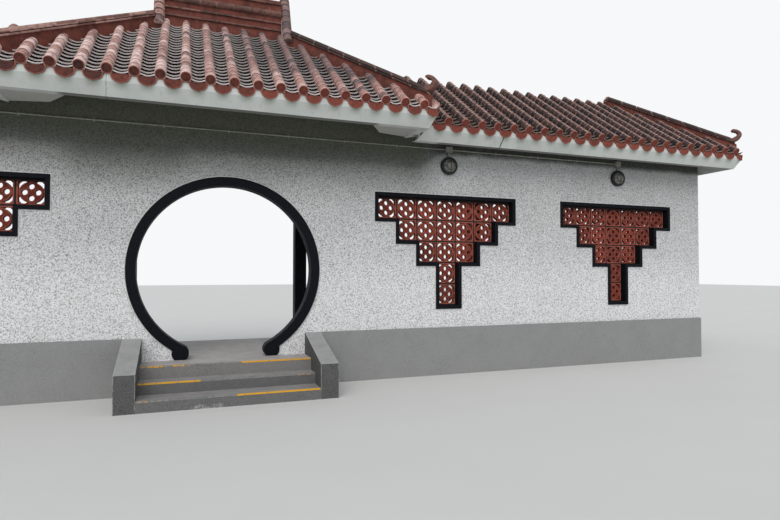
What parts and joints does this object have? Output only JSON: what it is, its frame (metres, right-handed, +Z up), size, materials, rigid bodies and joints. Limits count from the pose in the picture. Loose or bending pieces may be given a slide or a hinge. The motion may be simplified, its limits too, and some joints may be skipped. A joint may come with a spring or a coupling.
{
  "type": "moon gate",
  "caption": "Round moon gate in a white roughcast garden wall with red block windows, tiled hipped roofs and a covered walk behind.",
  "frame": {"origin": "on the ground under the middle of the tall roof, which is also the middle of the gate's bay and of the covered walk", "axes": "+X along the wall to the right as seen from the garden, +Y from the garden through the gate into the walk, +Z up"},
  "size_m": [16.395, 3.713, 5.43],
  "materials": {
    "roughcast": null,
    "black_paint": "near black satin paint on smooth render",
    "terracotta": "dull red fired clay blocks",
    "plinth_render": "dark grey render",
    "floor_concrete": "worn trowelled concrete",
    "step_concrete": "dark grey worn concrete",
    "roof_soffit": "painted concrete slab",
    "fascia_paint": "pale green-white paint on smooth render",
    "clay_tile": "weathered red clay roof tiles",
    "ridge_render": "dark red plastered ridges with weathered caps",
    "lamp_metal": "black painted metal",
    "lamp_glass": "frosted glass",
    "grey_plastic": "pale grey plastic"
  },
  "bodies": {
    "root": {"block_screen_far_left": "terracotta", "block_screen_far_right": "terracotta", "block_screen_near_left": "terracotta", "block_screen_near_right": "terracotta", "cheek_wall_left": "step_concrete", "cheek_wall_right": "step_concrete", "conduit": "grey_plastic", "corner_soffits": "fascia_paint", "floor_slab": "floor_concrete", "gate_wall_left": "roughcast", "gate_wall_right": "roughcast", "high_fascia": "fascia_paint", "high_hip_ridges": "ridge_render", "high_roof_slab": "roof_soffit", "high_roof_tiles": "clay_tile", "lamp_glasses": "lamp_glass", "lamp_rims": "lamp_metal", "landing": "floor_concrete", "low_fascia_left": "fascia_paint", "low_fascia_right": "fascia_paint", "low_hip_ridges": "ridge_render", "low_roof_slab_left": "roof_soffit", "low_roof_slab_right": "roof_soffit", "low_roof_tiles_left": "clay_tile", "low_roof_tiles_right": "clay_tile", "lower_step": "step_concrete", "main_ridge": "ridge_render", "middle_step": "step_concrete", "moon_gate_ring": "black_paint", "plinth": "plinth_render", "rear_beam": "black_paint", "rear_columns": "black_paint", "ridge_fin_left": "ridge_render", "ridge_fin_right": "ridge_render", "supply_boxes": "grey_plastic", "wall_far_left": "roughcast", "wall_far_right": "roughcast", "wall_near_left": "roughcast", "wall_near_right": "roughcast", "window_frame_far_left": "black_paint", "window_frame_far_right": "black_paint", "window_frame_near_left": "black_paint", "window_frame_near_right": "black_paint"}
  },
  "joints": []
}
